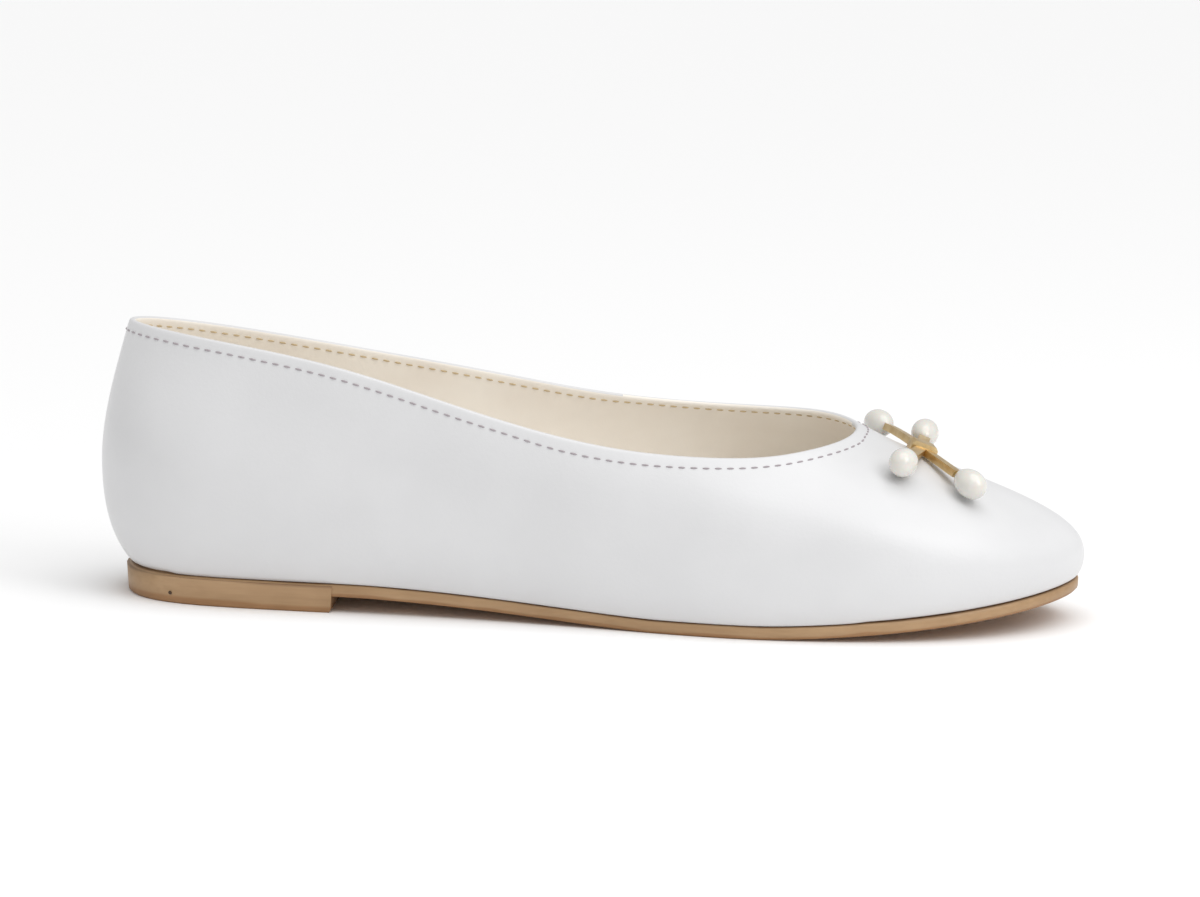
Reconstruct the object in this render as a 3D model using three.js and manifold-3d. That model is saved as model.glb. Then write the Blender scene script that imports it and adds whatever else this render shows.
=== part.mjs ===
import * as THREE from 'three';
import { mergeVertices } from 'three/addons/utils/BufferGeometryUtils.js';
import Module from 'manifold-3d';

// Ballet flat for the right foot, in millimetres.
// +X runs from heel to toe, +Y towards the big toe (the inner side of the foot), +Z up from the floor.

// Sizes of the last and of the upper
const shoeLength = 250; // back of the heel curve to the nose of the toe
const ballWidth = 80; // outsole at the joint of the big toe
const backHeight = 69.3; // topline at the back of the heel, above the floor
const instepHeight = 48; // topline at the front of the throat, above the floor
const upperWall = 1.8; // leather and lining together
const featherInset = 0.3; // the upper stands this far inside the edge of the sole

// Sizes of the sole and the heel
const soleThickness = 3.1;
const heelLiftHeight = 4.1;
const heelLength = 54.5; // heel block, from the back of the sole to its breast
const archStart = 7; // the underside stays level this far in front of the breast
const heelInset = 0.2; // the heel block stands this far inside the edge of the sole
const toeSpring = 8; // underside of the toe tip above the floor
const toeSpringPower = 1.5; // 1 would be a straight ramp, 2 an even curve
const archPower = 0.8; // below 1 the arch rises sooner in front of the ball
const edgeBevel = 0.5; // broken edges of sole and heel
const flatStart = 0.57; // the forefoot rests on the floor between these shares of the length
const flatEnd = 0.668;
const insoleThickness = 2.2;

// Sizes of the ornament
const bowSetback = 17.5; // knot ahead of the throat, along the vamp
const bowLift = 1.5; // middle of the metal arms above the leather at the knot
const armThickness = 1.8;
const armWidthAtKnot = 2.6;
const armWidthAtBead = 3.0;
const knotTurn = 12; // the knot is turned this far from square across the shoe, in degrees
const knotLength = 4; // width of the metal band
const knotSpan = 7; // the band over the crossing of the arms, from side to side
const knotThickness = 0.8;
const studRadius = 1.7; // post under the crossing, on the leather
const beadDiameter = 7.4;
const beadLength = 10.8;
const beadTaper = 0.12; // narrower at the arm and fuller at the far end by this share

const seat = 0.3; // gap between pieces that meet on a curve

// The curve from the feather line to the widest line leaves the sole outwards and arrives upright
const footPullOut = 0.6; // share of the way out
const footPullUp = 0.2; // share of the way up
const bellyPull = 0.5; // share of the way up, below the widest line

const rowSteps = 4; // mesh columns between two rows of the tables
const lowerSteps = 5; // mesh rows from the feather line to the widest line
const upperSteps = 14; // mesh rows from the widest line to the topline
const rimSteps = 4; // mesh rows over the rounded topline
const armSteps = 8; // mesh columns along an arm of the ornament
const beadSteps = 10; // mesh rows from end to end of a bead
const roundSides = 16; // mesh sides of the post and the beads

// The last, one row for each station around the shoe, from the back of the heel along the outer
// side to the toe and back along the inner side.
//   foot: edge of the sole. Along is a share of shoeLength, across a share of half the ballWidth.
//   top: topline. Along and across as above, height a share of the way from instepHeight up to
//   backHeight, below 0 where the topline dips between the two.
//   swell: how far the widest line stands out past the sole, a share of half the ballWidth.
//   belly: height of the widest line, a share of backHeight.
//   lean: how far the wall leans in at the topline, in degrees from upright.
//   lowPull, highPull: how long the curve keeps its direction at the widest line and at the
//   topline, as shares of the distance between the two.
const lastColumns = ['footAlong', 'footAcross', 'topAlong', 'topAcross', 'topHeight', 'swell', 'belly',
  'lean', 'lowPull', 'highPull'];
const lastRows = [
  [0.030, 0.000, 0.0265, 0.000, 1.000, 0.188, 0.480, 14, 0.34, 0.34], // back of the heel
  [0.046, -0.335, 0.0405, -0.200, 0.993, 0.163, 0.478, 14, 0.34, 0.34],
  [0.096, -0.545, 0.0850, -0.385, 0.941, 0.125, 0.464, 14, 0.34, 0.34], // outer heel quarter
  [0.180, -0.620, 0.1590, -0.505, 0.837, 0.100, 0.435, 16, 0.34, 0.34],
  [0.288, -0.650, 0.2640, -0.590, 0.619, 0.080, 0.377, 14, 0.34, 0.34], // outer side
  [0.412, -0.705, 0.3840, -0.660, 0.235, 0.075, 0.333, 16, 0.34, 0.34],
  [0.540, -0.820, 0.5040, -0.715, -0.080, 0.070, 0.290, 28, 0.34, 0.34], // outer waist
  [0.652, -0.925, 0.6000, -0.730, -0.178, 0.065, 0.261, 40, 0.34, 0.34],
  [0.760, -0.905, 0.6720, -0.650, -0.181, 0.060, 0.246, 48, 0.34, 0.36], // little toe joint
  [0.852, -0.780, 0.7190, -0.500, -0.122, 0.050, 0.236, 55, 0.27, 0.38],
  [0.928, -0.520, 0.7480, -0.310, -0.067, 0.042, 0.236, 60, 0.23, 0.42], // outer toe shoulder
  [0.977, -0.175, 0.7620, -0.115, -0.025, 0.037, 0.240, 62, 0.19, 0.44],
  [0.995, 0.170, 0.7660, 0.085, -0.002, 0.035, 0.246, 63, 0.18, 0.43], // tip of the toe
  [0.980, 0.480, 0.7620, 0.275, 0.004, 0.037, 0.246, 60, 0.19, 0.43],
  [0.934, 0.740, 0.7480, 0.450, 0.024, 0.042, 0.246, 55, 0.23, 0.41], // inner toe shoulder
  [0.860, 0.930, 0.7180, 0.615, 0.034, 0.046, 0.246, 49, 0.27, 0.38],
  [0.764, 1.035, 0.6650, 0.735, 0.021, 0.050, 0.250, 41, 0.33, 0.36], // big toe joint
  [0.660, 1.020, 0.5920, 0.775, 0.030, 0.060, 0.261, 32, 0.34, 0.34],
  [0.544, 0.850, 0.4960, 0.735, 0.120, 0.088, 0.304, 22, 0.34, 0.34], // inner waist
  [0.424, 0.625, 0.3880, 0.660, 0.327, 0.125, 0.377, 14, 0.34, 0.34],
  [0.304, 0.540, 0.2760, 0.600, 0.535, 0.125, 0.420, 10, 0.34, 0.34], // inner side
  [0.192, 0.590, 0.1670, 0.525, 0.736, 0.110, 0.449, 13, 0.34, 0.34],
  [0.100, 0.540, 0.0870, 0.395, 0.883, 0.125, 0.464, 14, 0.34, 0.34], // inner heel quarter
  [0.0472, 0.325, 0.0415, 0.200, 0.971, 0.163, 0.478, 14, 0.34, 0.34],
];

// Four arms of the ornament, two to each side of the shoe.
//   bearing: from the toe towards the inner side, in degrees, in the plane of the vamp at the knot.
//   reach: from the knot to the middle of the bead.
//   rise: middle of the bead above the middle of the knot, square to that plane.
const armColumns = ['name', 'bearing', 'reach', 'rise'];
const armRows = [
  ['outer_toe', -57.4, 23, -0.1],
  ['outer_heel', -102.8, 22.5, -1],
  ['inner_toe', 87.6, 18.5, 1],
  ['inner_heel', 112, 27.5, -2.2],
];

const up = new THREE.Vector3(0, 0, 1);

function readTable(columns, rows) {
  return rows.map((row) => Object.fromEntries(columns.map((name, i) => [name, row[i]])));
}

// A smooth closed curve through values that stand one step apart around the shoe.
function closedSpline(values) {
  const count = values.length;
  const at = (list, i) => list[((i % count) + count) % count];
  const bend = new Array(count).fill(0);
  for (let pass = 0; pass < 60; pass += 1) {
    for (let i = 0; i < count; i += 1) {
      const turn = 6 * (at(values, i + 1) - 2 * values[i] + at(values, i - 1));
      bend[i] = (turn - at(bend, i - 1) - at(bend, i + 1)) / 4;
    }
  }
  return (station) => {
    const i = Math.floor(station);
    const b = station - i;
    const a = 1 - b;
    const cubic = (a ** 3 - a) * at(bend, i) + (b ** 3 - b) * at(bend, i + 1);
    return a * at(values, i) + b * at(values, i + 1) + cubic / 6;
  };
}

const stations = readTable(lastColumns, lastRows);
const last = Object.fromEntries(lastColumns.map((name) => [name, closedSpline(stations.map((s) => s[name]))]));
const columnCount = stations.length * rowSteps;
const halfBall = ballWidth / 2;

// Underside of the sole above the floor: level over the heel block, an arch, a flat forefoot and
// the spring of the toe.
const soleBack = stations[0].footAlong * shoeLength;
const breastAt = soleBack + heelLength;
const toeTipAt = Math.max(...stations.map((s) => s.footAlong)) * shoeLength;

function soleUnderside(x) {
  const flatFrom = flatStart * shoeLength;
  const flatTo = flatEnd * shoeLength;
  if (x < flatFrom) {
    const share = THREE.MathUtils.clamp((flatFrom - x) / (flatFrom - breastAt - archStart), 0, 1);
    const wave = Math.sin((Math.PI / 2) * share ** archPower) ** 2;
    return heelLiftHeight * (wave + share) / 2;
  }
  const share = Math.max(0, (x - flatTo) / (toeTipAt - flatTo));
  return toeSpring * share ** toeSpringPower;
}

const soleTop = (x) => soleUnderside(x) + soleThickness;

// The outline of the sole in plan, and its outward direction
function footPoint(station) {
  return new THREE.Vector3(last.footAlong(station) * shoeLength, last.footAcross(station) * halfBall, 0);
}

function topPoint(station) {
  return new THREE.Vector3(
    last.topAlong(station) * shoeLength,
    last.topAcross(station) * halfBall,
    THREE.MathUtils.lerp(instepHeight, backHeight, last.topHeight(station)),
  );
}

function outward(pointAt, station) {
  const step = 0.05;
  const along = pointAt(station + step).sub(pointAt(station - step));
  return new THREE.Vector3(-along.y, along.x, 0).normalize().negate();
}

// One curve of the upper from the feather line over the widest line to the topline
function meridian(station) {
  const away = outward(footPoint, station);
  const awayAtTop = outward(topPoint, station);
  const foot = footPoint(station).addScaledVector(away, -featherInset);
  foot.z = soleTop(foot.x) + seat;
  const top = topPoint(station);
  const stand = last.swell(station) * halfBall + featherInset;
  const widest = foot.clone().addScaledVector(away, stand);
  widest.z = last.belly(station) * backHeight;
  const rise = widest.z - foot.z;
  const span = widest.distanceTo(top);
  const lean = THREE.MathUtils.degToRad(last.lean(station));
  const intoTop = awayAtTop.clone().multiplyScalar(Math.sin(lean)).addScaledVector(up, -Math.cos(lean));
  const lower = new THREE.CubicBezierCurve3(
    foot,
    foot.clone().addScaledVector(away, stand * footPullOut).addScaledVector(up, rise * footPullUp),
    widest.clone().addScaledVector(up, -rise * bellyPull),
    widest,
  );
  const upper = new THREE.CubicBezierCurve3(
    widest,
    widest.clone().addScaledVector(up, span * last.lowPull(station)),
    top.clone().addScaledVector(intoTop, span * last.highPull(station)),
    top,
  );
  return { lower, upper };
}

// A closed mesh from rings of points, each ring as long as the next, the last joined to the first
function wrapRings(rings) {
  const count = rings[0].length;
  const vertices = rings.flat().flatMap((p) => [p.x, p.y, p.z]);
  const faces = [];
  rings.forEach((ring, r) => {
    const next = (r + 1) % rings.length;
    for (let i = 0; i < count; i += 1) {
      const j = (i + 1) % count;
      faces.push(r * count + i, r * count + j, next * count + j);
      faces.push(r * count + i, next * count + j, next * count + i);
    }
  });
  return bufferGeometry(vertices, faces);
}

// A closed mesh from rings of points with a flat strip of faces across the first and the last
function capRings(rings) {
  const count = rings[0].length;
  const vertices = rings.flat().flatMap((p) => [p.x, p.y, p.z]);
  const faces = [];
  for (let r = 0; r < rings.length - 1; r += 1) {
    for (let i = 0; i < count; i += 1) {
      const j = (i + 1) % count;
      faces.push(r * count + i, r * count + j, (r + 1) * count + j);
      faces.push(r * count + i, (r + 1) * count + j, (r + 1) * count + i);
    }
  }
  const cap = (ring, offset, flip) => {
    acrossStrip(ring).forEach(([a, b, c]) => {
      faces.push(offset + a, offset + (flip ? c : b), offset + (flip ? b : c));
    });
  };
  cap(rings[0], 0, true);
  cap(rings[rings.length - 1], (rings.length - 1) * count, false);
  return bufferGeometry(vertices, faces);
}

// Triangles across a ring, zipped from its rearmost point to its foremost one
function acrossStrip(ring) {
  const count = ring.length;
  const rear = ring.reduce((best, p, i) => (p.x < ring[best].x ? i : best), 0);
  const front = ring.reduce((best, p, i) => (p.x > ring[best].x ? i : best), 0);
  const wrap = (i) => ((i % count) + count) % count;
  const strip = [];
  let ahead = wrap(rear + 1);
  let back = wrap(rear - 1);
  strip.push([rear, ahead, back]);
  while (ahead !== back) {
    const nextAhead = wrap(ahead + 1);
    const nextBack = wrap(back - 1);
    const takeAhead = back === front || (ahead !== front && ring[nextAhead].x <= ring[nextBack].x);
    if (takeAhead) {
      if (nextAhead === back) break;
      strip.push([ahead, nextAhead, back]);
      ahead = nextAhead;
    } else {
      if (nextBack === ahead) break;
      strip.push([ahead, nextBack, back]);
      back = nextBack;
    }
  }
  return strip;
}

function bufferGeometry(vertices, faces) {
  const geometry = new THREE.BufferGeometry();
  geometry.setAttribute('position', new THREE.Float32BufferAttribute(vertices, 3));
  geometry.setIndex(faces);
  geometry.computeVertexNormals();
  return geometry;
}

function ringAround(pointAt) {
  return Array.from({ length: columnCount }, (_, i) => pointAt(i / rowSteps));
}

// The upper: outer skin from the feather line up, over the rounded topline, and down the lining
const meridians = ringAround(meridian);

function skinPoint(column, row) {
  const { lower, upper } = meridians[(column + columnCount) % columnCount];
  if (row <= lowerSteps) return lower.getPoint(row / lowerSteps);
  return upper.getPoint((row - lowerSteps) / upperSteps);
}

function skinNormal(column, row) {
  const topRow = lowerSteps + upperSteps;
  const aroundWay = skinPoint(column + 1, row).sub(skinPoint(column - 1, row));
  const upWay = skinPoint(column, Math.min(row + 1, topRow)).sub(skinPoint(column, Math.max(row - 1, 0)));
  return aroundWay.cross(upWay).normalize();
}

function skinRing(row, depth) {
  return Array.from({ length: columnCount }, (_, i) => (
    skinPoint(i, row).addScaledVector(skinNormal(i, row), -depth)
  ));
}

function upperGeometry() {
  const topRow = lowerSteps + upperSteps;
  const rings = [];
  for (let row = 0; row <= topRow - 1; row += 1) rings.push(skinRing(row, 0));
  const radius = upperWall / 2;
  const outerLip = skinRing(topRow, 0);
  const innerLip = skinRing(topRow, upperWall);
  for (let k = 0; k <= rimSteps; k += 1) {
    const angle = (Math.PI * k) / rimSteps;
    rings.push(outerLip.map((outer, i) => {
      const inner = innerLip[i];
      const outWay = outer.clone().sub(inner).normalize();
      const upWay = outer.clone().sub(skinPoint(i, topRow - 1)).normalize();
      const middle = outer.clone().lerp(inner, 0.5).addScaledVector(upWay, -radius);
      return middle.addScaledVector(outWay, radius * Math.cos(angle))
        .addScaledVector(upWay, radius * Math.sin(angle));
    }));
  }
  for (let row = topRow - 1; row >= 1; row -= 2) rings.push(skinRing(row, upperWall));
  rings.push(skinRing(0, upperWall).map((p) => p.setZ(soleTop(p.x) + seat)));
  return wrapRings(rings);
}

// A plate under the foot: the outline drawn in by an inset, with broken edges above and below
function plateRing(inset, heightAt) {
  return ringAround((station) => {
    const p = footPoint(station).addScaledVector(outward(footPoint, station), -inset);
    return p.setZ(heightAt(p.x));
  });
}

function plateGeometry(inset, bevel, undersideAt, topAt) {
  return capRings([
    plateRing(inset + bevel, undersideAt),
    plateRing(inset, (x) => undersideAt(x) + bevel),
    plateRing(inset, (x) => topAt(x) - bevel),
    plateRing(inset + bevel, topAt),
  ]);
}

function outsoleGeometry() {
  return plateGeometry(0, edgeBevel, soleUnderside, soleTop);
}

function insoleGeometry() {
  const inset = featherInset + upperWall + seat * 2;
  const underside = (x) => soleTop(x) + seat;
  return plateGeometry(inset, edgeBevel, underside, (x) => underside(x) + insoleThickness);
}

// The heel block under the back of the sole, cut off straight at its breast
function heelGeometry() {
  const outline = ringAround((station) => (
    footPoint(station).addScaledVector(outward(footPoint, station), -heelInset)
  ));
  const outer = outline.filter((p) => p.y <= 0 && p.x < breastAt).sort((a, b) => a.x - b.x);
  const inner = outline.filter((p) => p.y > 0 && p.x < breastAt).sort((a, b) => b.x - a.x);
  const crossing = (side) => {
    const ring = outline.filter((p) => Math.sign(p.y) === side).sort((a, b) => a.x - b.x);
    const after = ring.findIndex((p) => p.x >= breastAt);
    const share = (breastAt - ring[after - 1].x) / (ring[after].x - ring[after - 1].x);
    return ring[after - 1].clone().lerp(ring[after], share);
  };
  const ring = [...outer, crossing(-1), crossing(1), ...inner];
  const middle = new THREE.Vector3(soleBack + heelLength / 2, 0, 0);
  const level = (height, inset) => ring.map((p) => {
    const drawnIn = p.clone().lerp(middle, inset / p.distanceTo(middle));
    return drawnIn.setZ(height);
  });
  return capRings([
    level(0, edgeBevel),
    level(edgeBevel, 0),
    level(heelLiftHeight, 0),
  ]);
}

// Solids that are joined or cut
const wasm = await Module();
wasm.setup();

function toSolid(geometry) {
  const bare = geometry.clone();
  bare.deleteAttribute('normal');
  bare.deleteAttribute('uv');
  const merged = mergeVertices(bare, 1e-4);
  return new wasm.Manifold(new wasm.Mesh({
    numProp: 3,
    vertProperties: new Float32Array(merged.attributes.position.array),
    triVerts: new Uint32Array(merged.index.array),
  }));
}

function fromSolid(solid) {
  const mesh = solid.getMesh();
  return bufferGeometry(Array.from(mesh.vertProperties), Array.from(mesh.triVerts));
}

// The plane of the ornament: its middle on the vamp, its X to the toe, its Y to the inner side
const toeStation = stations.findIndex((s) => s.footAlong === Math.max(...stations.map((t) => t.footAlong)));

function bowFrame() {
  const curve = meridians[toeStation * rowSteps].upper;
  const length = curve.getLength();
  const at = 1 - bowSetback / length;
  const seatPoint = curve.getPointAt(at);
  const toToe = curve.getTangentAt(at).negate();
  const column = toeStation * rowSteps;
  const row = lowerSteps + Math.round(at * upperSteps);
  const normal = skinNormal(column, row);
  const inwards = normal.clone().cross(toToe).normalize();
  const ahead = inwards.clone().cross(normal).normalize();
  const frame = new THREE.Matrix4().makeBasis(ahead, inwards, normal);
  return frame.setPosition(seatPoint);
}

// How far an arm stands above the plane of the knot, and its slope, at a distance from the knot
const armHeight = (arm, distance) => bowLift + arm.rise * (distance / arm.reach) ** 2;
const armSlope = (arm, distance) => (2 * arm.rise * distance) / arm.reach ** 2;

// One flat arm, widening from the knot to its bead and bent along the vamp
function armGeometry(arm) {
  const slopeAtBead = armSlope(arm, arm.reach);
  const end = arm.reach - (beadLength / 2 + seat) / Math.hypot(1, slopeAtBead);
  const bar = new THREE.BoxGeometry(1, 1, 1, armSteps, 1, 1);
  const place = bar.attributes.position;
  for (let i = 0; i < place.count; i += 1) {
    const share = place.getX(i) + 0.5;
    const distance = share * end;
    const width = THREE.MathUtils.lerp(armWidthAtKnot, armWidthAtBead, share);
    const height = armHeight(arm, distance) + place.getZ(i) * armThickness;
    place.setXYZ(i, distance, place.getY(i) * width, height);
  }
  bar.rotateZ(THREE.MathUtils.degToRad(arm.bearing));
  return bar;
}

// The metal frame of the ornament: four arms and the post on the leather, cast in one
function bowArmsGeometry(arms) {
  const postHeight = bowLift - seat;
  const post = new THREE.CylinderGeometry(studRadius, studRadius, postHeight, roundSides);
  post.rotateX(Math.PI / 2);
  post.translate(0, 0, seat + postHeight / 2);
  return fromSolid(arms.reduce((solid, arm) => solid.add(toSolid(armGeometry(arm))), toSolid(post)));
}

// The knot: a band of metal that arches over the crossing, its ends beside the arms
function knotGeometry() {
  const halfArm = armThickness / 2;
  const profile = new THREE.Shape();
  const arch = (halfSpan, crown, corner) => [
    [-halfSpan, -halfArm],
    [-halfSpan, crown - corner],
    [-halfSpan + corner, crown],
    [halfSpan - corner, crown],
    [halfSpan, crown - corner],
    [halfSpan, -halfArm],
  ];
  const crown = halfArm + seat + knotThickness;
  const outside = arch(knotSpan / 2, crown, knotThickness);
  const inside = arch(knotSpan / 2 - knotThickness, crown - knotThickness, knotThickness / 2);
  [...outside, ...inside.reverse()].forEach(([x, y], i) => (i ? profile.lineTo(x, y) : profile.moveTo(x, y)));
  profile.closePath();
  const band = new THREE.ExtrudeGeometry(profile, { depth: knotLength, bevelEnabled: false });
  band.translate(0, 0, -knotLength / 2);
  band.rotateX(Math.PI / 2);
  band.rotateZ(THREE.MathUtils.degToRad(knotTurn));
  band.translate(0, 0, bowLift);
  return band;
}

// A bead: an oval drop on the end of its arm, a little narrower where the arm meets it
function beadGeometry(arm) {
  const points = Array.from({ length: beadSteps + 1 }, (_, k) => {
    const angle = (Math.PI * k) / beadSteps;
    const round = k % beadSteps === 0 ? 0 : Math.sin(angle);
    const taper = 1 - beadTaper * Math.cos(angle);
    return new THREE.Vector2((beadDiameter / 2) * round * taper, (-beadLength / 2) * Math.cos(angle));
  });
  const bead = new THREE.LatheGeometry(points, roundSides);
  bead.rotateZ(-Math.PI / 2);
  bead.rotateY(-Math.atan(armSlope(arm, arm.reach)));
  bead.translate(arm.reach, 0, armHeight(arm, arm.reach));
  bead.rotateZ(THREE.MathUtils.degToRad(arm.bearing));
  return bead;
}

const whiteLeather = new THREE.MeshStandardMaterial({ color: 0xeeeef2, roughness: 0.5, metalness: 0 });
const creamLining = new THREE.MeshStandardMaterial({ color: 0xefe4cc, roughness: 0.7, metalness: 0 });
const tanSole = new THREE.MeshStandardMaterial({ color: 0xb99766, roughness: 0.6, metalness: 0 });
const goldMetal = new THREE.MeshStandardMaterial({ color: 0xc79a52, roughness: 0.3, metalness: 1 });
const whiteEnamel = new THREE.MeshStandardMaterial({ color: 0xf0efe9, roughness: 0.15, metalness: 0 });

const shoe = new THREE.Group();

function addPiece(parent, name, geometry, material) {
  const piece = new THREE.Mesh(geometry, material);
  piece.name = name;
  parent.add(piece);
}

addPiece(shoe, 'outsole', outsoleGeometry(), tanSole);
addPiece(shoe, 'heel_block', heelGeometry(), tanSole);
addPiece(shoe, 'insole', insoleGeometry(), creamLining);
addPiece(shoe, 'upper', upperGeometry(), whiteLeather);

const arms = readTable(armColumns, armRows);
const ornament = new THREE.Group();
bowFrame().decompose(ornament.position, ornament.quaternion, ornament.scale);
shoe.add(ornament);
addPiece(ornament, 'bow_arms', bowArmsGeometry(arms), goldMetal);
addPiece(ornament, 'bow_knot', knotGeometry(), goldMetal);
arms.forEach((arm) => {
  addPiece(ornament, `bead_${arm.name}`, beadGeometry(arm), whiteEnamel);
});

// The origin lies on the floor under the middle of the shoe
const box = new THREE.Box3().setFromObject(shoe);
const middle = box.getCenter(new THREE.Vector3());
shoe.position.set(-middle.x, -middle.y, 0);

export default shoe;
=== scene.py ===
"""Looks of the ballet flat: white nappa upper, cream lining, tan sole, and a gilt bow with milk-white
beads."""

import math

import bmesh
import bpy
from mathutils import Matrix, Vector
from mathutils.bvhtree import BVHTree


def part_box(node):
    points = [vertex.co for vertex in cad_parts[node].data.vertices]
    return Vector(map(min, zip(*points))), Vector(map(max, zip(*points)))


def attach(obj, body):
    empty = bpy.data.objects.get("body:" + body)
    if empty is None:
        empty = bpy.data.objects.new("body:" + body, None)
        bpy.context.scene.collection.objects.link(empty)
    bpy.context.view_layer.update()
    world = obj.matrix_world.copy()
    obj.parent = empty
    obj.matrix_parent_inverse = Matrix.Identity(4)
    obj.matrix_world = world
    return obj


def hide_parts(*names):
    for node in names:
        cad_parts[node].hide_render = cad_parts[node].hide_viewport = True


MM = 0.001
UP = Vector((0, 0, 1))
WELD = 0.002 * MM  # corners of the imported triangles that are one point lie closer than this
SMOOTH_BELOW = 38  # degrees between faces of leather that are shaded as one

# Camera, fitted to the shoe's outline. The photograph is 1200 by 897 pixels.
PHOTO_WIDTH = 1200
PHOTO_HEIGHT = 897
AIM_POINT = Vector((1.335, -2.066, 0)) * MM  # on the floor, under the middle of the shoe
AIM_PIXEL = (594.0, 603.4)  # where that point lies in the photograph
CAMERA_DISTANCE = 1200 * MM
CAMERA_AZIMUTH = 4.0  # from square on to the outer side, towards the toe
CAMERA_ELEVATION = 11.5
CAMERA_ROLL = 1.55
PIXELS_PER_RADIAN = 4815.6

# Upper
STITCH_PITCH = 3.0 * MM
STITCH_LENGTH = 1.8 * MM
THREAD_RADIUS = 0.24 * MM
WALK_STEPS = 12  # for finding a place on the surface beside an edge
OUTER_ROW = 4.2 * MM  # stitch row from the lining's upper edge, over the topline and down the leather
LINING_ROW = 1.9 * MM  # stitch row from the same edge down the lining
ROOM_HEIGHT = 20 * MM  # a line along the middle of the foot's room, which the lining faces
ROOM_END = 30 * MM  # from the back and the toe to the ends of that line
SEAM_AT = -79 * MM  # side seams of the lining, along the shoe
SEAM_RADIUS = 0.28 * MM
SEAM_DROP = 12 * MM  # from the top of the back down to the top of the seam
SEAM_STEPS = 16

SOCK_ROW = 4.0 * MM  # stitch row inside the sock's edge

# Sole and heel
BAND_RISE = 2.7 * MM  # the stained heel lift is dressed up over the side of the sole
BAND_GROWTH_BACK = 0.35 * MM
BAND_GROWTH_FRONT = 0.24 * MM
HEEL_EDGE_BREAK = 0.5 * MM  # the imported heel's bevel
TACK_RADIUS = 0.6 * MM
TACK_DEPTH = 0.5 * MM
TACK_EDGE = 0.08 * MM
TACK_AT = Vector((-104, 0, 2.6)) * MM

# Ornament
METAL_EDGE = 0.22 * MM  # rounding left by tumbling

# Studio
FLOOR_HALF = 6  # metres
SKY_STRENGTH = 0.58
SUN_STRENGTH = 1.35
SUN_SPREAD = 60  # degrees, for a soft shadow
SUN_WAY = Vector((-0.18, 0.12, -1.0))
SOFTBOX_AT = Vector((0.55, -0.35, 0.5))  # metres, in front of the toe
SOFTBOX_AIM = Vector((0.1, 0, 0.03))
SOFTBOX_SIZE = 0.45
SOFTBOX_POWER = 1.5

# Colours
WHITE_NAPPA = "#dfdfe0"
CREAM_LINING = "#fdf8ef"
TAN_LEATHER = "#ad8b65"
TAN_EDGE = "#d9b483"
GILT = "#e0c89a"
MILK_WHITE = "#e3e1da"
THREAD = "#a9a0a4"
LINING_THREAD = "#c9b48e"
FLOOR_WHITE = "#fbfbfb"


def linear(hex_colour):
    """An sRGB hex colour as linear RGBA."""
    channels = [int(hex_colour[i:i + 2], 16) / 255 for i in (1, 3, 5)]
    return [c / 12.92 if c <= 0.04045 else ((c + 0.055) / 1.055) ** 2.4 for c in channels] + [1]


def per_mm(size_mm):
    """Scale of a pattern on Object coordinates whose repeat is that many millimetres."""
    return 1 / (size_mm * MM)


# Materials


def start_material(name):
    material = bpy.data.materials.new(name)
    material.use_nodes = True
    tree = material.node_tree
    return material, tree, tree.nodes["Principled BSDF"]


def add_node(tree, kind, settings=None, links=None):
    """Adds a node, sets its properties or its sockets, and links sockets to other nodes' outputs."""
    node = tree.nodes.new(kind)
    for key, value in (settings or {}).items():
        if isinstance(key, str) and hasattr(node, key):
            setattr(node, key, value)
        else:
            node.inputs[key].default_value = value
    for key, output in (links or {}).items():
        tree.links.new(output, node.inputs[key])
    return node


def set_shader(tree, shader, values=None, links=None):
    for key, value in (values or {}).items():
        shader.inputs[key].default_value = value
    for key, output in (links or {}).items():
        tree.links.new(output, shader.inputs[key])


def colour_ramp(tree, stops, fac):
    ramp = add_node(tree, "ShaderNodeValToRGB", links={"Fac": fac})
    elements = ramp.color_ramp.elements
    while len(elements) < len(stops):
        elements.new(0.5)
    for element, (place, colour) in zip(elements, stops):
        element.position = place
        element.color = linear(colour)
    return ramp


def object_coordinates(tree):
    return add_node(tree, "ShaderNodeTexCoord").outputs["Object"]


def nappa_leather():
    """Aniline-dyed nappa, drummed and lightly glazed: nearly even white, a fine pebble grain and a
    soft broad sheen."""
    material, tree, shader = start_material("white_nappa")
    place = object_coordinates(tree)
    cloud = add_node(tree, "ShaderNodeTexNoise", {"Scale": per_mm(30), "Detail": 3.0}, {"Vector": place})
    colour = colour_ramp(tree, [(0.3, "#d9d9da"), (0.7, WHITE_NAPPA)], cloud.outputs["Fac"])
    pebble = add_node(tree, "ShaderNodeTexVoronoi", {"feature": "SMOOTH_F1", "Scale": per_mm(0.9)},
                      {"Vector": place})
    pore = add_node(tree, "ShaderNodeTexNoise", {"Scale": per_mm(0.35), "Detail": 2.0}, {"Vector": place})
    grain = add_node(tree, "ShaderNodeMix", {"data_type": "FLOAT", "Factor": 0.45},
                     {"A": pebble.outputs["Distance"], "B": pore.outputs["Fac"]})
    bump = add_node(tree, "ShaderNodeBump", {"Strength": 0.3, "Distance": 0.12 * MM},
                    {"Height": grain.outputs["Result"]})
    gloss = add_node(tree, "ShaderNodeMapRange", {"To Min": 0.3, "To Max": 0.42},
                     {"Value": cloud.outputs["Fac"]})
    set_shader(tree, shader, {"IOR": 1.5, "Sheen Weight": 0.12, "Sheen Roughness": 0.4},
               {"Base Color": colour.outputs["Color"], "Roughness": gloss.outputs["Result"],
                "Normal": bump.outputs["Normal"]})
    return material


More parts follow.
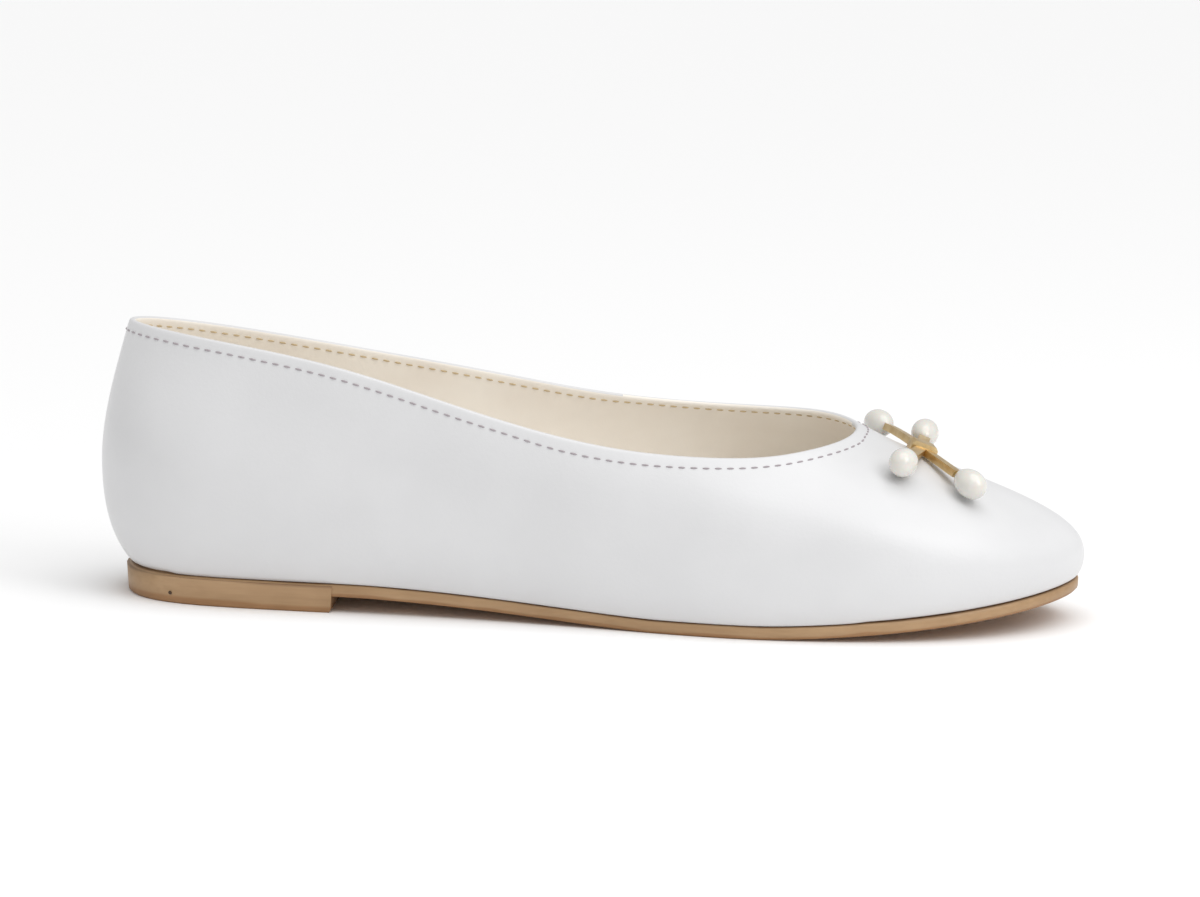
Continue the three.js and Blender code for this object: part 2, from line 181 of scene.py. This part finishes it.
def lining_leather(name, base, shade):
    """Undyed kid lining, only milled: matte cream with a faint cloud and fine pores."""
    material, tree, shader = start_material(name)
    place = object_coordinates(tree)
    cloud = add_node(tree, "ShaderNodeTexNoise", {"Scale": per_mm(14), "Detail": 5.0}, {"Vector": place})
    colour = colour_ramp(tree, [(0.3, shade), (0.7, base)], cloud.outputs["Fac"])
    pore = add_node(tree, "ShaderNodeTexNoise", {"Scale": per_mm(0.5), "Detail": 3.0}, {"Vector": place})
    bump = add_node(tree, "ShaderNodeBump", {"Strength": 0.25, "Distance": 0.1 * MM},
                    {"Height": pore.outputs["Fac"]})
    set_shader(tree, shader, {"Roughness": 0.62, "IOR": 1.45, "Sheen Weight": 0.2, "Sheen Roughness": 0.5},
               {"Base Color": colour.outputs["Color"], "Normal": bump.outputs["Normal"]})
    return material


def sole_leather():
    """Vegetable-tanned sole leather, cut, stained and waxed: tan with faint lengthwise streaks and a
    lighter lower edge, with a painted shade line along the top, under the overhanging upper."""
    material, tree, shader = start_material("vegetable_tanned_sole")
    place = object_coordinates(tree)
    stretched = add_node(tree, "ShaderNodeMapping", {"Scale": (0.12, 1, 1.6)}, {"Vector": place})
    streak = add_node(tree, "ShaderNodeTexNoise", {"Scale": per_mm(1.6), "Detail": 4.0},
                      {"Vector": stretched.outputs["Vector"]})
    cloud = add_node(tree, "ShaderNodeTexNoise", {"Scale": per_mm(22), "Detail": 4.0}, {"Vector": place})
    stain = add_node(tree, "ShaderNodeMix", {"data_type": "FLOAT", "Factor": 0.7},
                     {"A": streak.outputs["Fac"], "B": cloud.outputs["Fac"]})
    body = colour_ramp(tree, [(0.25, "#9c7a55"), (0.5, TAN_LEATHER), (0.75, "#bd9b74")],
                       stain.outputs["Result"])
    layer = add_node(tree, "ShaderNodeAttribute", {"attribute_name": "layer"})
    # Up the thickness: a lighter lower edge, no tint through the middle, and at the top a painted shade
    # line where the upper overhangs the sole.
    edge_and_painted_shade_stops = [(0.0, TAN_EDGE), (0.16, TAN_EDGE), (0.26, "#ffffff"), (0.9, "#ffffff"), (1.0, "#8a6a48")]
    band = colour_ramp(tree, edge_and_painted_shade_stops, layer.outputs["Fac"])
    tinted = add_node(tree, "ShaderNodeMix",
                      {"data_type": "RGBA", "blend_type": "MULTIPLY", "Factor": 0.55})
    tree.links.new(body.outputs["Color"], tinted.inputs["A"])
    tree.links.new(band.outputs["Color"], tinted.inputs["B"])
    bump = add_node(tree, "ShaderNodeBump", {"Strength": 0.3, "Distance": 0.12 * MM},
                    {"Height": streak.outputs["Fac"]})
    set_shader(tree, shader, {"Roughness": 0.5, "IOR": 1.5, "Coat Weight": 0.12, "Coat Roughness": 0.35},
               {"Base Color": tinted.outputs["Result"], "Normal": bump.outputs["Normal"]})
    return material


def gilt_metal():
    """Cast zinc, tumbled and gold plated: pale warm reflections, made dull and broad by the tumbling."""
    material, tree, shader = start_material("gold_plated_casting")
    place = object_coordinates(tree)
    wear = add_node(tree, "ShaderNodeTexNoise", {"Scale": per_mm(3), "Detail": 4.0}, {"Vector": place})
    colour = colour_ramp(tree, [(0.3, "#cdae7a"), (0.7, GILT)], wear.outputs["Fac"])
    gloss = add_node(tree, "ShaderNodeMapRange", {"To Min": 0.3, "To Max": 0.42},
                     {"Value": wear.outputs["Fac"]})
    bump = add_node(tree, "ShaderNodeBump", {"Strength": 0.12, "Distance": 0.05 * MM},
                    {"Height": wear.outputs["Fac"]})
    set_shader(tree, shader, {"Metallic": 1.0},
               {"Base Color": colour.outputs["Color"], "Roughness": gloss.outputs["Result"],
                "Normal": bump.outputs["Normal"]})
    return material


def bead_enamel():
    """Moulded acrylic under clear lacquer: milky white, even, with sharp small highlights."""
    material, tree, shader = start_material("moulded_acrylic_bead")
    place = object_coordinates(tree)
    cloud = add_node(tree, "ShaderNodeTexNoise", {"Scale": per_mm(6), "Detail": 2.0}, {"Vector": place})
    colour = colour_ramp(tree, [(0.3, "#dbd8d0"), (0.7, MILK_WHITE)], cloud.outputs["Fac"])
    set_shader(tree, shader, {"Roughness": 0.16, "IOR": 1.49, "Coat Weight": 0.5, "Coat Roughness": 0.05,
                              "Subsurface Weight": 0.15, "Subsurface Scale": 1.5 * MM},
               {"Base Color": colour.outputs["Color"]})
    return material


def sewing_thread(name, colour_hex):
    """Twisted polyester thread: matte, with a fine slanted twist."""
    material, tree, shader = start_material(name)
    place = object_coordinates(tree)
    twist = add_node(tree, "ShaderNodeTexNoise", {"Scale": per_mm(0.4), "Detail": 1.0}, {"Vector": place})
    bump = add_node(tree, "ShaderNodeBump", {"Strength": 0.4, "Distance": 0.08 * MM},
                    {"Height": twist.outputs["Fac"]})
    set_shader(tree, shader, {"Base Color": linear(colour_hex), "Roughness": 0.7},
               {"Normal": bump.outputs["Normal"]})
    return material


def steel_tack():
    """Drawn steel wire tack, filed flush with the edge: small, grey and dull."""
    material, tree, shader = start_material("filed_steel_tack")
    place = object_coordinates(tree)
    file_marks = add_node(tree, "ShaderNodeTexNoise", {"Scale": per_mm(0.5)}, {"Vector": place})
    bump = add_node(tree, "ShaderNodeBump", {"Strength": 0.3, "Distance": 0.05 * MM},
                    {"Height": file_marks.outputs["Fac"]})
    set_shader(tree, shader, {"Base Color": linear("#5a4a3c"), "Metallic": 0.8, "Roughness": 0.5},
               {"Normal": bump.outputs["Normal"]})
    return material


def studio_paper():
    material, tree, shader = start_material("studio_paper")
    set_shader(tree, shader, {"Base Color": linear(FLOOR_WHITE), "Roughness": 0.9})
    return material


# Making pieces


def welded_copy(node_name):
    """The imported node's mesh as a bmesh with its doubles merged and its triangles paired."""
    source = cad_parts[node_name]
    mesh = bmesh.new()
    mesh.from_mesh(source.data)
    bmesh.ops.remove_doubles(mesh, verts=mesh.verts, dist=WELD)
    bmesh.ops.join_triangles(mesh, faces=mesh.faces, cmp_seam=False, cmp_sharp=False, cmp_uvs=False,
                             cmp_vcols=False, cmp_materials=False, angle_face_threshold=math.radians(50),
                             angle_shape_threshold=math.radians(70))
    return mesh


def add_piece(mesh, name, materials, smooth=True):
    """Turns a bmesh into an object at the origin that rides on the shoe."""
    data = bpy.data.meshes.new(name)
    mesh.to_mesh(data)
    mesh.free()
    for material in materials:
        data.materials.append(material)
    for polygon in data.polygons:
        polygon.use_smooth = smooth
    piece = bpy.data.objects.new(name, data)
    bpy.context.scene.collection.objects.link(piece)
    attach(piece, "root")
    return piece


def subdivide(piece, levels):
    modifier = piece.modifiers.new("subdivision", "SUBSURF")
    modifier.levels = levels
    modifier.render_levels = levels


def bevel(mesh, edges, width, segments):
    bmesh.ops.bevel(mesh, geom=edges, offset=width, offset_type="OFFSET", affect="EDGES", segments=segments,
                    profile=0.5, material=-1, clamp_overlap=True)


def sharp_edges(mesh, degrees):
    limit = math.radians(degrees)
    return [e for e in mesh.edges if len(e.link_faces) == 2 and e.calc_face_angle(0) > limit]


def surface_of(piece):
    """A tree for rays against the piece as it is rendered, modifiers included."""
    bpy.context.view_layer.update()
    return BVHTree.FromObject(piece, bpy.context.evaluated_depsgraph_get())


def make_upper(leather, lining):
    """The shell: leather outside and over the topline, lining inside. Returns it with the loop between
    the two, just inside the topline."""
    mesh = welded_copy("upper")
    low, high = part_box("upper")
    for face in mesh.faces:
        middle = face.calc_center_median()
        along = min(max(middle.x, low.x + ROOM_END), high.x - ROOM_END)
        inward = Vector((along, (low.y + high.y) / 2, ROOM_HEIGHT)) - middle
        face.material_index = 1 if face.normal.dot(inward) > 0 else 0
    crease = mesh.edges.layers.float.new("crease_edge")
    for edge in sharp_edges(mesh, 60):
        edge[crease] = 1.0
    loop = border_loop(mesh)
    piece = add_piece(mesh, "upper_leather", [leather, lining])
    subdivide(piece, 2)
    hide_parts("upper")
    return piece, loop


def border_loop(mesh):
    """The upper one of the closed edge loops between the two materials, as places in order."""
    border = {}
    for edge in mesh.edges:
        kinds = {face.material_index for face in edge.link_faces}
        if len(kinds) == 2:
            for a, b in (edge.verts, reversed(edge.verts)):
                border.setdefault(a.index, []).append(b.index)
    mesh.verts.ensure_lookup_table()
    start = max(border, key=lambda i: mesh.verts[i].co.z)
    order = [start]
    while True:
        ahead = [i for i in border[order[-1]] if i not in order[-2:]]
        if not ahead or ahead[0] == start:
            break
        order.append(ahead[0])
    return [mesh.verts[i].co.copy() for i in order]


def smoothed(loop):
    befores = loop[-1:] + loop[:-1]
    afters = loop[1:] + loop[:1]
    return [(before + 2 * here + after) / 4 for before, here, after in zip(befores, loop, afters)]


def row_beside(loop, tree, distance):
    """Places that far from a closed loop, walked over the surface square to it. A positive distance
    leads away from the loop's middle."""
    loop = smoothed(smoothed(loop))
    middle = sum(loop, Vector()) / len(loop)
    step = abs(distance) / WALK_STEPS
    row = []
    for i, start in enumerate(loop):
        along = (loop[(i + 1) % len(loop)] - loop[i - 1]).normalized()
        if UP.cross(along).dot(start - middle) * distance < 0:
            along = -along
        place, normal, _, _ = tree.find_nearest(start)
        for _ in range(WALK_STEPS):
            place, normal, _, _ = tree.find_nearest(place + normal.cross(along).normalized() * step)
        row.append(place)
    return row


def even_points(loop, pitch):
    """Points about one pitch apart along a closed loop, with the direction of the loop at each."""
    ends = loop[1:] + loop[:1]
    lengths = [(b - a).length for a, b in zip(loop, ends)]
    total = sum(lengths)
    count = round(total / pitch)
    points = []
    segment = 0
    passed = 0.0
    for k in range(count):
        wanted = total * k / count
        while passed + lengths[segment] < wanted:
            passed += lengths[segment]
            segment += 1
        share = (wanted - passed) / lengths[segment]
        points.append(loop[segment].lerp(ends[segment], share))
    return [(p, (points[(i + 1) % count] - points[i - 1]).normalized()) for i, p in enumerate(points)]


def make_stitches(name, tree, row, material):
    """A row of separate stitches, each half sunk in the leather."""
    mesh = bmesh.new()
    for point, along in even_points(row, STITCH_PITCH):
        hit, normal, _, _ = tree.find_nearest(point)
        flat = (along - normal * along.dot(normal)).normalized()
        side = normal.cross(flat)
        turn = Matrix((flat, side, normal)).transposed().to_4x4()
        size = Matrix.Diagonal((STITCH_LENGTH / 2, THREAD_RADIUS, THREAD_RADIUS, 1))
        place = Matrix.Translation(hit + normal * THREAD_RADIUS * 0.25) @ turn @ size
        bmesh.ops.create_uvsphere(mesh, u_segments=8, v_segments=6, radius=1,
                                  matrix=place @ Matrix.Rotation(math.pi / 2, 4, "Y"))
    piece = add_piece(mesh, name, [material])
    return piece


def make_side_seam(name, tree, side, floor, material):
    """The lining's side seam: a fine raised joint from the topline down to the sock."""
    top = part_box("upper")[1].z - SEAM_DROP
    points = []
    for k in range(SEAM_STEPS + 1):
        height = top + (floor - top) * k / SEAM_STEPS
        hit, normal, _, _ = tree.ray_cast(Vector((SEAM_AT, -3 * MM, height)), Vector((0, side, 0)))
        if hit is not None and normal.y * side < 0:
            points.append((hit, normal))
    mesh = bmesh.new()
    rings = []
    for hit, normal in points:
        ring = bmesh.ops.create_circle(mesh, segments=8, radius=SEAM_RADIUS,
                                       matrix=Matrix.Translation(hit + normal * SEAM_RADIUS * 0.1))["verts"]
        rings.append(ring)
    for pair in zip(rings, rings[1:]):
        edges = {e for ring in pair for v in ring for e in v.link_edges if e.other_vert(v) in ring}
        bmesh.ops.bridge_loops(mesh, edges=list(edges))
    for ring in (rings[0], rings[-1]):
        bmesh.ops.contextual_create(mesh, geom=ring)
    bmesh.ops.recalc_face_normals(mesh, faces=mesh.faces)
    piece = add_piece(mesh, name, [material])
    return piece


def sole_heights(node_name):
    """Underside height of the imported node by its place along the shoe, as sorted pairs."""
    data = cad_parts[node_name].data
    low = {}
    for polygon in data.polygons:
        if polygon.normal.z < -0.7:
            for i in polygon.vertices:
                place = data.vertices[i].co
                key = round(place.x / MM, 1)
                low[key] = min(low.get(key, 1), place.z)
    return sorted((x * MM, z) for x, z in low.items())


def height_at(pairs, x):
    for (x0, z0), (x1, z1) in zip(pairs, pairs[1:]):
        if x0 <= x <= x1:
            return z0 + (z1 - z0) * (x - x0) / max(x1 - x0, 1e-9)
    return pairs[0][1] if x < pairs[0][0] else pairs[-1][1]


def dress_heel(mesh):
    """Draws the heel lift up over the side of the sole, so that both read as one stained band."""
    top = max(v.co.z for v in mesh.verts)
    low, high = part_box("heel_block")
    mesh.normal_update()
    rim = [v for v in mesh.verts if v.normal.xy.length > 0.2]
    outward = {v: Vector((v.normal.x, v.normal.y, 0)).normalized() for v in rim}
    for vertex, way in outward.items():
        on_top = top - vertex.co.z < WELD
        share = (vertex.co.x - low.x) / (high.x - low.x)
        growth = BAND_GROWTH_BACK + (BAND_GROWTH_FRONT - BAND_GROWTH_BACK) * share
        vertex.co += way * (growth + (HEEL_EDGE_BREAK if on_top else 0))
        if on_top:
            vertex.co.z += BAND_RISE


def make_sole(node_name, name, leather):
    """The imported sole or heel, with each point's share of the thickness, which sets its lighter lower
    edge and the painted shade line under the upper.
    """
    mesh = bmesh.new()
    mesh.from_mesh(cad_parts[node_name].data)
    bmesh.ops.remove_doubles(mesh, verts=mesh.verts, dist=WELD)
    if node_name == "heel_block":
        dress_heel(mesh)
    pairs = sole_heights(node_name)
    whole = max(v.co.z - height_at(pairs, v.co.x) for v in mesh.verts)
    # Near 1 at the top, where the material paints a shade line under the upper.
    layer = mesh.verts.layers.float.new("layer")
    for vertex in mesh.verts:
        vertex[layer] = (vertex.co.z - height_at(pairs, vertex.co.x)) / whole
    piece = add_piece(mesh, name, [leather])
    piece.data.set_sharp_from_angle(angle=math.radians(SMOOTH_BELOW))
    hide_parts(node_name)
    return piece


def make_tack(heel, material):
    """The head of the tack that holds the heel lift, flush in the outer side of the heel."""
    mesh = bmesh.new()
    start = Vector((TACK_AT.x, 2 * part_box("heel_block")[0].y, TACK_AT.z))
    hit, normal, _, _ = surface_of(heel).ray_cast(start, Vector((0, 1, 0)))
    turn = normal.to_track_quat("Z", "Y").to_matrix().to_4x4()
    bmesh.ops.create_cone(mesh, cap_ends=True, segments=20, radius1=TACK_RADIUS, radius2=TACK_RADIUS * 0.7,
                          depth=TACK_DEPTH, matrix=Matrix.Translation(hit) @ turn)
    bevel(mesh, sharp_edges(mesh, 40), TACK_EDGE, 2)
    piece = add_piece(mesh, "heel_tack", [material])
    return piece


def make_sock(leather, thread):
    """The sock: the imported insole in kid, with a row of stitches inside its edge. Returns its surface."""
    mesh = welded_copy("insole")
    for face in mesh.faces:
        face.material_index = 1 if face.normal.z > 0.7 else 0
    loop = border_loop(mesh)
    piece = add_piece(mesh, "sock", [leather, leather])
    piece.data.set_sharp_from_angle(angle=math.radians(SMOOTH_BELOW))
    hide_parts("insole")
    surface = surface_of(piece)
    make_stitches("sock_stitches", surface, row_beside(loop, surface, -SOCK_ROW), thread)
    return surface


def fill_knot(mesh):
    """The band is pinched tight round the crossing, so its ends are closed as solder closes them."""
    hull = bmesh.ops.convex_hull(mesh, input=mesh.verts)
    inner = [g for g in hull["geom_interior"] + hull["geom_unused"] if isinstance(g, bmesh.types.BMVert)]
    bmesh.ops.delete(mesh, geom=inner, context="VERTS")
    kept = {g for g in hull["geom"] if isinstance(g, bmesh.types.BMFace) and g.is_valid}
    bmesh.ops.delete(mesh, geom=[f for f in mesh.faces if f not in kept], context="FACES_ONLY")
    bmesh.ops.recalc_face_normals(mesh, faces=mesh.faces)


def make_bow(gilt, enamel):
    """The ornament: metal with softly rounded edges, and smooth beads."""
    for node_name in ("bow_arms", "bow_knot"):
        mesh = bmesh.new()
        mesh.from_mesh(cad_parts[node_name].data)
        bmesh.ops.remove_doubles(mesh, verts=mesh.verts, dist=WELD)
        if node_name == "bow_knot":
            fill_knot(mesh)
        bmesh.ops.dissolve_limit(mesh, angle_limit=math.radians(1), verts=mesh.verts, edges=mesh.edges)
        bevel(mesh, sharp_edges(mesh, 40), METAL_EDGE, 3)
        piece = add_piece(mesh, node_name + "_gilt", [gilt])
        piece.data.set_sharp_from_angle(angle=math.radians(45))
        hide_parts(node_name)
    for node_name in [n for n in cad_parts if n.startswith("bead_")]:
        mesh = welded_copy(node_name)
        piece = add_piece(mesh, node_name + "_enamel", [enamel])
        subdivide(piece, 2)
        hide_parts(node_name)


# Studio


def rolled_axes(forward):
    right = forward.cross(UP).normalized()
    up = right.cross(forward)
    roll = math.radians(CAMERA_ROLL)
    return right * math.cos(roll) + up * math.sin(roll), up * math.cos(roll) - right * math.sin(roll)


def make_camera():
    """The camera stands at the photograph's angle, turned until the aim point lies on its pixel."""
    azimuth = math.radians(CAMERA_AZIMUTH)
    rise = math.tan(math.radians(CAMERA_ELEVATION))
    place = AIM_POINT + Vector((math.sin(azimuth), -math.cos(azimuth), rise)) * CAMERA_DISTANCE
    target = AIM_POINT.copy()
    for _ in range(8):
        forward = (target - place).normalized()
        right, up = rolled_axes(forward)
        ray = AIM_POINT - place
        across = PIXELS_PER_RADIAN * ray.dot(right) / ray.dot(forward) - (AIM_PIXEL[0] - PHOTO_WIDTH / 2)
        down = -PIXELS_PER_RADIAN * ray.dot(up) / ray.dot(forward) - (AIM_PIXEL[1] - PHOTO_HEIGHT / 2)
        target += (right * across - up * down) * CAMERA_DISTANCE / PIXELS_PER_RADIAN
    data = bpy.data.cameras.new("camera")
    data.sensor_width = 36
    data.lens = data.sensor_width * PIXELS_PER_RADIAN / PHOTO_WIDTH
    data.clip_start = 0.01
    camera = bpy.data.objects.new("camera", data)
    camera.matrix_world = Matrix.Translation(place) @ Matrix((right, up, -forward)).transposed().to_4x4()
    bpy.context.scene.collection.objects.link(camera)
    bpy.context.scene.camera = camera


def add_softbox(place, aim, size, power):
    data = bpy.data.lights.new("softbox", "AREA")
    data.shape = "DISK"
    data.size = size
    data.energy = power
    light = bpy.data.objects.new("softbox", data)
    light.location = place
    light.rotation_euler = (aim - place).to_track_quat("-Z", "Y").to_euler()
    bpy.context.scene.collection.objects.link(light)


def make_studio():
    mesh = bmesh.new()
    bmesh.ops.create_grid(mesh, x_segments=1, y_segments=1, size=FLOOR_HALF)
    data = bpy.data.meshes.new("floor")
    mesh.to_mesh(data)
    mesh.free()
    data.materials.append(studio_paper())
    floor = bpy.data.objects.new("floor", data)
    bpy.context.scene.collection.objects.link(floor)
    world = bpy.data.worlds.new("studio")
    world.use_nodes = True
    sky = world.node_tree.nodes["Background"]
    sky.inputs["Color"].default_value = linear("#fdfdfd")
    sky.inputs["Strength"].default_value = SKY_STRENGTH
    bpy.context.scene.world = world
    bpy.context.scene.view_settings.view_transform = "Standard"
    sun = bpy.data.lights.new("sun", "SUN")
    sun.energy = SUN_STRENGTH
    sun.angle = math.radians(SUN_SPREAD)
    sun_object = bpy.data.objects.new("sun", sun)
    sun_object.rotation_euler = SUN_WAY.to_track_quat("-Z", "Y").to_euler()
    bpy.context.scene.collection.objects.link(sun_object)
    add_softbox(SOFTBOX_AT, SOFTBOX_AIM, SOFTBOX_SIZE, SOFTBOX_POWER)


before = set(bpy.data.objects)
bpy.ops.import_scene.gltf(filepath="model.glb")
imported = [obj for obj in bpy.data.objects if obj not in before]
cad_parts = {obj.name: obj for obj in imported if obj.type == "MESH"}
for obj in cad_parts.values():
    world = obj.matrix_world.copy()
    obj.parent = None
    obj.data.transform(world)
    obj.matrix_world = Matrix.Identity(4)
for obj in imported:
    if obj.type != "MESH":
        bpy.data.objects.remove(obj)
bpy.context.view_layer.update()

nappa = nappa_leather()
lining = lining_leather("kid_lining", CREAM_LINING, "#f8f1e7")
sock_leather = lining_leather("kid_sock", "#fbf6ee", "#f5ecdf")
tan = sole_leather()

shell, topline = make_upper(nappa, lining)
shell_surface = surface_of(shell)
leather_row = row_beside(topline, shell_surface, OUTER_ROW)
topline_thread = sewing_thread("topline_thread", THREAD)
make_stitches("topline_stitches", shell_surface, leather_row, topline_thread)
lining_thread = sewing_thread("lining_thread", LINING_THREAD)
lining_row = row_beside(topline, shell_surface, -LINING_ROW)
make_stitches("lining_stitches", shell_surface, lining_row, lining_thread)
sock_surface = make_sock(sock_leather, lining_thread)
seam_foot = sock_surface.ray_cast(Vector((SEAM_AT, 0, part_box("upper")[1][2])), -UP)[0].z
for seam_name, seam_side in (("lining_seam_outer", -1), ("lining_seam_inner", 1)):
    make_side_seam(seam_name, shell_surface, seam_side, seam_foot, lining_thread)
make_sole("outsole", "sole", tan)
heel_lift = make_sole("heel_block", "heel_lift", tan)
make_tack(heel_lift, steel_tack())
make_bow(gilt_metal(), bead_enamel())
make_camera()
make_studio()
